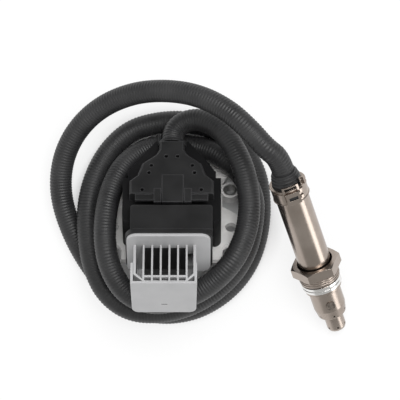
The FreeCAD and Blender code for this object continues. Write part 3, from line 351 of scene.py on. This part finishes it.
def line_points(corners):
    """Points along the smooth line whose control points are the corners."""
    curve = bpy.data.curves.new("conduit_line", "CURVE")
    curve.dimensions = "3D"
    curve.resolution_u = LINE_STEPS
    line = curve.splines.new("NURBS")
    line.points.add(len(corners) - 1)
    for point, corner in zip(line.points, corners):
        point.co = (*corner, 1)
    line.order_u = LINE_ORDER
    line.use_endpoint_u = True
    holder = bpy.data.objects.new("conduit_line", curve)
    bpy.context.scene.collection.objects.link(holder)
    bpy.context.view_layer.update()
    mesh = bpy.data.meshes.new_from_object(holder)
    found = [vertex.co.copy() for vertex in mesh.vertices]
    bpy.data.objects.remove(holder)
    bpy.data.meshes.remove(mesh)
    return found


def lengths_along(points):
    """The length of the line up to each of its points."""
    total = [0.0]
    for here, there in zip(points, points[1:]):
        total.append(total[-1] + (there - here).length)
    return total


def stations_on(points, wanted):
    """Places on the line at growing lengths along it."""
    total = lengths_along(points)
    places = []
    index = 0
    for length in wanted:
        while index < len(points) - 2 and total[index + 1] < length:
            index += 1
        share = (length - total[index]) / (total[index + 1] - total[index])
        places.append(points[index].lerp(points[index + 1], share))
    return places


def tube_mesh(name, places, radii, count):
    """A closed tube of rings that don't twist."""
    vertices = []
    faces = []
    side = None
    for index, place in enumerate(places):
        ahead = places[min(index + 1, len(places) - 1)] - places[max(index - 1, 0)]
        run = ahead.normalized()
        if side is None:
            side = run.orthogonal().normalized()
        side = (side - run * side.dot(run)).normalized()
        other = run.cross(side)
        for turn in range(count):
            angle = 2 * math.pi * turn / count
            vertices.append(place + (side * math.cos(angle) + other * math.sin(angle))
                            * radii[index])
    for ring in range(len(places) - 1):
        for turn in range(count):
            here = ring * count + turn
            beside = ring * count + (turn + 1) % count
            faces.append((here, beside, beside + count, here + count))
    faces.append(tuple(reversed(range(count))))
    faces.append(tuple(range(len(vertices) - count, len(vertices))))
    mesh = bpy.data.meshes.new(name)
    mesh.from_pydata(vertices, [], faces)
    mesh.shade_smooth()
    piece = bpy.data.objects.new(name, mesh)
    bpy.context.scene.collection.objects.link(piece)
    return piece


def make_conduit():
    """Corrugated tube from the neck collar of the unit to the boot of the probe."""
    collar = UNIT @ COLLAR_END
    leave = UNIT @ (COLLAR_END + Vector((0, EXIT_RUN, 0)))
    boot = PROBE @ Vector((0, 0, BOOT_END))
    arrive = PROBE @ Vector((0, 0, BOOT_END - ENTRY_RUN))
    corners = [collar, leave] + [Vector(spot) for spot in ROUTE] + [arrive, boot]
    line = line_points(corners)
    total = lengths_along(line)[-1]
    ribs = round(total / RIB_PITCH)
    pitch = total / ribs
    wanted = []
    radii = []
    for rib in range(ribs):
        for share, height in RIB_FORM:
            wanted.append((rib + share) * pitch)
            radii.append(CONDUIT_RADIUS - RIB_DEPTH * (1 - height))
    wanted.append(total)
    radii.append(CONDUIT_RADIUS)
    piece = tube_mesh("corrugated_conduit", stations_on(line, wanted), radii, RING_POINTS)
    piece.data.materials.append(hose_black)
    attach(piece, "sensor")
    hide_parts("conduit")


make_conduit()


# Small forms that the photograph shows

ARC_STEP = 4
ARC_CORNERS = 4


def solid_piece(name, vertices, faces, matrix, material, body):
    """A piece from vertices in a frame of the part; it moves with a body."""
    mesh = bpy.data.meshes.new(name)
    mesh.from_pydata([matrix @ Vector(spot) for spot in vertices], [], faces)
    mesh.materials.append(material)
    piece = bpy.data.objects.new(name, mesh)
    bpy.context.scene.collection.objects.link(piece)
    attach(piece, body)
    return piece


def add_block(vertices, faces, low, high):
    """One box between two corners, added to the lists."""
    first = len(vertices)
    for across in (low[0], high[0]):
        for along in (low[1], high[1]):
            for up in (low[2], high[2]):
                vertices.append((across, along, up))
    for face in ((0, 1, 3, 2), (4, 6, 7, 5), (0, 4, 5, 1), (2, 3, 7, 6), (0, 2, 6, 4),
                 (1, 5, 7, 3)):
        faces.append(tuple(first + corner for corner in face))


def add_ring(vertices, faces, profile, turns):
    """A turned ring from a closed profile of radius and station, added to the lists."""
    first = len(vertices)
    count = len(profile)
    for turn in range(turns):
        angle = 2 * math.pi * turn / turns
        for radius, station in profile:
            vertices.append((radius * math.cos(angle), radius * math.sin(angle), station))
    for turn in range(turns):
        following = (turn + 1) % turns
        for index in range(count):
            beside = (index + 1) % count
            faces.append((first + turn * count + index, first + following * count + index,
                          first + following * count + beside, first + turn * count + beside))


def add_arc(vertices, faces, angles, radii, stations, place):
    """A curved bar: angles in degrees, inner and outer radius, two stations."""
    steps = round(abs(angles[1] - angles[0]) / ARC_STEP)
    first = len(vertices)
    for step in range(steps + 1):
        angle = math.radians(angles[0] + (angles[1] - angles[0]) * step / steps)
        for radius, station in ((radii[0], stations[0]), (radii[1], stations[0]),
                                (radii[1], stations[1]), (radii[0], stations[1])):
            vertices.append(place(radius, angle, station))
    for step in range(steps):
        here = first + step * ARC_CORNERS
        onward = here + ARC_CORNERS
        for corner in range(ARC_CORNERS):
            beside = (corner + 1) % ARC_CORNERS
            faces.append((here + corner, here + beside, onward + beside, onward + corner))
    last = first + steps * ARC_CORNERS
    faces.append((first + 3, first + 2, first + 1, first))
    faces.append((last, last + 1, last + 2, last + 3))


# The cap in the unit's frame: its ribs, the face behind them and its floor.
CAP_RIB_MIDDLE = -3.0 * MM
CAP_RIB_STEP = 4.14 * MM
CAP_RIB_HALF = 0.45 * MM
CAP_RIB_COUNT = 6
CAP_RIB_FOOT = -12.0 * MM
CAP_FACE = -2.0 * MM
LINER_THICK = 0.2 * MM
LINER_TOP = -10.2 * MM
CAP_FLOOR = -28.9 * MM
LINER_FRONT = -19.0 * MM


def make_window_shade_liner():
    """Dark sheets in the cap's hood, between and below its ribs: the connector's dark face, and
    painted shade in the hood's recess.
    """
    vertices = []
    faces = []
    gaps = CAP_RIB_COUNT - 1
    first = CAP_RIB_MIDDLE - CAP_RIB_STEP * gaps / 2
    last = CAP_RIB_MIDDLE + CAP_RIB_STEP * gaps / 2
    near = CAP_FACE - LINER_THICK
    for gap in range(gaps):
        left = first + CAP_RIB_STEP * gap + CAP_RIB_HALF
        add_block(vertices, faces, (left, near, CAP_RIB_FOOT),
                  (left + CAP_RIB_STEP - 2 * CAP_RIB_HALF, CAP_FACE, LINER_TOP))
    add_block(vertices, faces, (first, near, CAP_FLOOR), (last, CAP_FACE, CAP_RIB_FOOT))
    add_block(vertices, faces, (first, LINER_FRONT, CAP_FLOOR),
              (last, near, CAP_FLOOR + LINER_THICK))
    solid_piece("window_shade_liner", vertices, faces, UNIT, face_and_shade_black, "sensor")


# The boot in the probe's frame: it leaves the sleeve's end and narrows after a straight part.
SLEEVE_END = -62.6 * MM
BOOT_RADIUS = 7.0 * MM
BOOT_TAPER = 0.244
BOOT_STRAIGHT = 2.0 * MM
RIDGE_FIRST = 0.8
RIDGE_STEP = 1.75 * MM
RIDGE_COUNT = 3
RIDGE_HIGH = 0.35 * MM
RIDGE_HALF = 0.55 * MM
RIDGE_ROUND = 6
RIDGE_TURNS = 72


def make_boot_ridges():
    """Rounded ridges round the boot, like those of the conduit but broader."""
    vertices = []
    faces = []
    for ridge in range(RIDGE_COUNT):
        onward = RIDGE_STEP * (ridge + RIDGE_FIRST)
        radius = BOOT_RADIUS - BOOT_TAPER * max(0, onward - BOOT_STRAIGHT)
        station = SLEEVE_END - onward
        profile = [(radius - RIDGE_HIGH, station - RIDGE_HALF)]
        for step in range(RIDGE_ROUND + 1):
            angle = math.pi * step / RIDGE_ROUND
            profile.append((radius + RIDGE_HIGH * math.sin(angle),
                            station - RIDGE_HALF * math.cos(angle)))
        profile.append((radius - RIDGE_HIGH, station + RIDGE_HALF))
        add_ring(vertices, faces, profile, RIDGE_TURNS)
    piece = solid_piece("boot_ridges", vertices, faces, PROBE, hose_black, "sensor")
    piece.data.shade_smooth()


BAND_OUTSIDE = 8.85 * MM
BAND_EDGES = (-62.2 * MM, -54.9 * MM)
BEAD_RADIUS = 0.3 * MM
BEAD_SIDES = 8

# Corners of the slot in the buckle, in millimetres, which a dark block of painted shade fills.
SLOT_LOW = (-9.9, -2.2, -59.35)
SLOT_HIGH = (-9.3, 2.2, -57.75)

# Curved bars of the clamp: their two angles in degrees, and their radii and stations in
# millimetres. First the bridge over the band's end, then the lapped strap end, two tabs and
# the folded ear.
CLAMP_BARS = (
    ((-26, 26), (8.3, 9.5), (-65.0, -64.3)),
    ((-26, -19), (8.3, 9.5), (-64.3, -61.5)),
    ((19, 26), (8.3, 9.5), (-64.3, -61.5)),
    ((-62, -25), (8.8, 9.25), (-61.2, -56.0)),
    ((25, 40), (8.8, 9.6), (-61.6, -59.4)),
    ((25, 36), (8.8, 9.6), (-58.0, -56.2)),
    ((48, 60), (8.2, 10.2), (-66.2, -65.0)),
    ((48, 60), (8.2, 10.2), (-63.6, -62.4)),
    ((40, 60), (8.2, 8.9), (-66.2, -62.4)),
)


def in_metres(values):
    """Values in millimetres, turned into metres."""
    return [value * MM for value in values]


def on_probe(radius, angle, station):
    """A point round the probe; zero degrees faces the viewer and the angle grows to the right."""
    return (-radius * math.cos(angle), radius * math.sin(angle), station)


def make_clamp_details():
    """Bridge over the band's end, the lapped strap end, edge beads and the folded tabs, with a
    dark block of painted shade in the buckle's slot.
    """
    vertices = []
    faces = []
    for angles, radii, stations in CLAMP_BARS:
        add_arc(vertices, faces, angles, in_metres(radii), in_metres(stations), on_probe)
    for station in BAND_EDGES:
        profile = []
        for step in range(BEAD_SIDES):
            angle = 2 * math.pi * step / BEAD_SIDES
            profile.append((BAND_OUTSIDE + BEAD_RADIUS * math.cos(angle),
                            station + BEAD_RADIUS * math.sin(angle)))
        add_ring(vertices, faces, profile, RIDGE_TURNS)
    solid_piece("clamp_details", vertices, faces, PROBE, drawn_nickel, "sensor")
    vertices = []
    faces = []
    # Painted shade in the buckle's slot.
    add_block(vertices, faces, in_metres(SLOT_LOW), in_metres(SLOT_HIGH))
    solid_piece("buckle_shade", vertices, faces, PROBE, soft_black, "sensor")


# The weld plug in the probe's frame, and how far its rings stand out from the probe's axis.
PLUG_MIDDLE = 9.1 * MM
WELD_RADII = (1.75 * MM, 2.35 * MM)
WELD_OUT = (7.5 * MM, 8.5 * MM)
DIMPLE_RADII = (0.1 * MM, 0.8 * MM)
NEARLY_ROUND = (0, 359)


def on_plug(radius, angle, station):
    """A point round the weld plug, which faces the viewer."""
    return (-station, radius * math.cos(angle), PLUG_MIDDLE + radius * math.sin(angle))


def make_weld():
    """Weld bead round the plug, and the dimple in its middle."""
    vertices = []
    faces = []
    for radii in (WELD_RADII, DIMPLE_RADII):
        add_arc(vertices, faces, NEARLY_ROUND, radii, WELD_OUT, on_plug)
    solid_piece("weld_bead", vertices, faces, PROBE, weld_nickel, "sensor")


# Corners of the slot in the hood, in millimetres.
MARK_LOW = (-5.0, -23.6, -26.95)
MARK_HIGH = (-2.0, -23.35, -26.25)


def make_mark_shade():
    """Painted shade: a dark block on the floor of the short slot in the hood."""
    vertices = []
    faces = []
    add_block(vertices, faces, in_metres(MARK_LOW), in_metres(MARK_HIGH))
    solid_piece("mark_shade", vertices, faces, UNIT, black, "sensor")


# The thread in the probe's frame; it runs away from the tip.
THREAD_RADIUS = 10.0 * MM
THREAD_PITCH = 1.2 * MM
THREAD_HIGH = 0.28 * MM
THREAD_FIRST = -4.6 * MM
THREAD_LAST = -8.4 * MM
THREAD_STEPS = 48
THREAD_SIDES = 6


def make_thread():
    """Thread on the shank of the union nut."""
    turns = (THREAD_FIRST - THREAD_LAST) / THREAD_PITCH
    count = round(turns * THREAD_STEPS)
    places = []
    for step in range(count + 1):
        angle = 2 * math.pi * step / THREAD_STEPS
        station = THREAD_FIRST - THREAD_PITCH * step / THREAD_STEPS
        places.append(PROBE @ Vector((THREAD_RADIUS * math.cos(angle),
                                      THREAD_RADIUS * math.sin(angle), station)))
    piece = tube_mesh("nut_thread", places, [THREAD_HIGH] * len(places), THREAD_SIDES)
    piece.data.materials.append(turned_nickel)
    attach(piece, "union_nut")


# The trough's two angles in degrees, its inner and outer radius, and its length in millimetres.
TROUGH_TURN = (165, 300)
TROUGH_RADII = (5.9 * MM, 7.1 * MM)
TROUGH_LENGTH = 5.6


def on_neck(radius, angle, station):
    """A point round the cable neck; zero degrees is to the right and the angle grows upward."""
    return (radius * math.cos(angle), station, radius * math.sin(angle) + NECK_LEVEL * MM)


def make_neck_trough():
    """Lower half shell of the neck that the first stretch of the conduit lies in."""
    vertices = []
    faces = []
    stations = in_metres((COLLAR_REAR, COLLAR_REAR + TROUGH_LENGTH))
    add_arc(vertices, faces, TROUGH_TURN, TROUGH_RADII, stations, on_neck)
    solid_piece("neck_trough", vertices, faces, UNIT, black, "sensor")


make_window_shade_liner()
make_boot_ridges()
make_clamp_details()
make_weld()
make_mark_shade()
make_thread()
make_neck_trough()


# Floor, light and camera

FLOOR_HALF = 1.5
FLOOR_WHITE = 0.93
FLOOR_ROUGHNESS = 0.9
FLOOR_GLOSS = 0.1
FLOOR_GLOW = 0.8

# The floor glows outside the coil only, growing from the first distance to the second: painted
# light that hides the shadow there.
COIL_MIDDLE = (-26 * MM, 10 * MM, 0)
COIL_EDGE = (42 * MM, 56 * MM)

# The room that gloss sees: places from one end of the frame's Y axis to the other, as shares,
# each with its level of light.
ROOM_STOPS = ((0.0, 0.42), (0.35, 0.62), (0.55, 0.45), (0.8, 0.16), (1.0, 0.12))
ROOM_BLUE = 0.98
WORLD_LEVEL = 0.78

STRIP_SPOT = (0.85, -0.42, 0.16)
STRIP_TARGET = (0.03, 0.0, 0.03)
STRIP_SIZE = 0.36
STRIP_POWER = 1.1
SKY_SPOT = (0.15, 0.35, 1.15)
SKY_TARGET = (0, 0.02, 0.03)
SKY_SIZE = 0.6
SKY_POWER = 8.0

CAMERA_SPOT = (-12.86 * MM, 17.16 * MM, 1.36)
CAMERA_LENS = 244.3


def seen_by(tree, rays):
    """One where any of the named kinds of ray looks, and zero for the others."""
    path = tree.nodes.new("ShaderNodeLightPath")
    share = path.outputs[rays[0]]
    for kind in rays[1:]:
        either = tree.nodes.new("ShaderNodeMath")
        either.operation = "MAXIMUM"
        tree.links.new(share, either.inputs[0])
        tree.links.new(path.outputs[kind], either.inputs[1])
        share = either.outputs["Value"]
    return share


def make_floor():
    """A white floor, which camera, glossy and transmission rays see whiter outside the coil, as
    painted light over the shadow there.
    """
    mesh = bpy.data.meshes.new("floor")
    half = FLOOR_HALF
    mesh.from_pydata([(-half, -half, 0), (half, -half, 0), (half, half, 0), (-half, half, 0)],
                     [], [(0, 1, 2, 3)])
    floor = bpy.data.objects.new("floor", mesh)
    bpy.context.scene.collection.objects.link(floor)
    material, tree, shader = new_tree("floor_white")
    set_inputs(shader, {"Base Color": (FLOOR_WHITE, FLOOR_WHITE, FLOOR_WHITE, 1),
                        "Roughness": FLOOR_ROUGHNESS, "Specular IOR Level": FLOOR_GLOSS})
    away = tree.nodes.new("ShaderNodeVectorMath")
    away.operation = "DISTANCE"
    away.inputs[1].default_value = COIL_MIDDLE
    place = tree.nodes.new("ShaderNodeTexCoord")
    tree.links.new(place.outputs["Object"], away.inputs[0])
    # Painted light: the glow hides the floor's shadow outside the coil.
    white = ranged(tree, away.outputs["Value"], 0.0, FLOOR_GLOW, *COIL_EDGE)
    share = tree.nodes.new("ShaderNodeMath")
    share.operation = "MULTIPLY"
    seen = seen_by(tree, ("Is Camera Ray", "Is Glossy Ray", "Is Transmission Ray"))
    tree.links.new(seen, share.inputs[0])
    tree.links.new(white, share.inputs[1])
    glow = tree.nodes.new("ShaderNodeEmission")
    set_inputs(glow, {"Color": (1, 1, 1, 1), "Strength": 1.0})
    mix = tree.nodes.new("ShaderNodeMixShader")
    tree.links.new(share.outputs["Value"], mix.inputs["Fac"])
    tree.links.new(shader.outputs["BSDF"], mix.inputs[1])
    tree.links.new(glow.outputs["Emission"], mix.inputs[2])
    tree.links.new(mix.outputs["Shader"], tree.nodes["Material Output"].inputs["Surface"])
    mesh.materials.append(material)


def make_world():
    """Even light for surfaces, white for the camera and a softer room for reflections."""
    world = bpy.data.worlds.new("studio")
    bpy.context.scene.world = world
    world.use_nodes = True
    tree = world.node_tree
    tree.nodes.clear()
    output = tree.nodes.new("ShaderNodeOutputWorld")
    where = tree.nodes.new("ShaderNodeTexCoord")
    split = tree.nodes.new("ShaderNodeSeparateXYZ")
    tree.links.new(where.outputs["Generated"], split.inputs["Vector"])
    ramp = tree.nodes.new("ShaderNodeValToRGB")
    ramp.color_ramp.interpolation = "B_SPLINE"
    for position, level in ROOM_STOPS[1:-1]:
        ramp.color_ramp.elements.new(position)
    for element, (position, level) in zip(ramp.color_ramp.elements, ROOM_STOPS):
        element.color = (level, level, level * ROOM_BLUE, 1)
    half = tree.nodes.new("ShaderNodeMapRange")
    set_inputs(half, {"From Min": -1.0, "From Max": 1.0})
    tree.links.new(split.outputs["Y"], half.inputs["Value"])
    tree.links.new(half.outputs["Result"], ramp.inputs["Fac"])
    room = tree.nodes.new("ShaderNodeBackground")
    tree.links.new(ramp.outputs["Color"], room.inputs["Color"])
    even = tree.nodes.new("ShaderNodeBackground")
    set_inputs(even, {"Color": (1, 1, 1, 1), "Strength": WORLD_LEVEL})
    white = tree.nodes.new("ShaderNodeBackground")
    set_inputs(white, {"Color": (1, 1, 1, 1), "Strength": 1.0})
    glossy = tree.nodes.new("ShaderNodeMixShader")
    tree.links.new(seen_by(tree, ("Is Glossy Ray",)), glossy.inputs["Fac"])
    tree.links.new(even.outputs["Background"], glossy.inputs[1])
    tree.links.new(room.outputs["Background"], glossy.inputs[2])
    shown = tree.nodes.new("ShaderNodeMixShader")
    tree.links.new(seen_by(tree, ("Is Camera Ray", "Is Transmission Ray")), shown.inputs["Fac"])
    tree.links.new(glossy.outputs["Shader"], shown.inputs[1])
    tree.links.new(white.outputs["Background"], shown.inputs[2])
    tree.links.new(shown.outputs["Shader"], output.inputs["Surface"])


def make_lamp(name, spot, target, size, power):
    """A soft square lamp that points at a target."""
    data = bpy.data.lights.new(name, "AREA")
    data.shape = "SQUARE"
    data.size = size
    data.energy = power
    lamp = bpy.data.objects.new(name, data)
    lamp.location = spot
    lamp.rotation_euler = (Vector(target) - Vector(spot)).to_track_quat("-Z", "Y").to_euler()
    bpy.context.scene.collection.objects.link(lamp)


def make_camera():
    """A camera straight above, as the photograph looks."""
    data = bpy.data.cameras.new("camera")
    data.lens = CAMERA_LENS
    camera = bpy.data.objects.new("camera", data)
    camera.location = CAMERA_SPOT
    bpy.context.scene.collection.objects.link(camera)
    bpy.context.scene.camera = camera


make_floor()
make_world()
make_lamp("strip_right", STRIP_SPOT, STRIP_TARGET, STRIP_SIZE, STRIP_POWER)
make_lamp("sky", SKY_SPOT, SKY_TARGET, SKY_SIZE, SKY_POWER)
make_camera()
bpy.context.scene.view_settings.view_transform = "Standard"
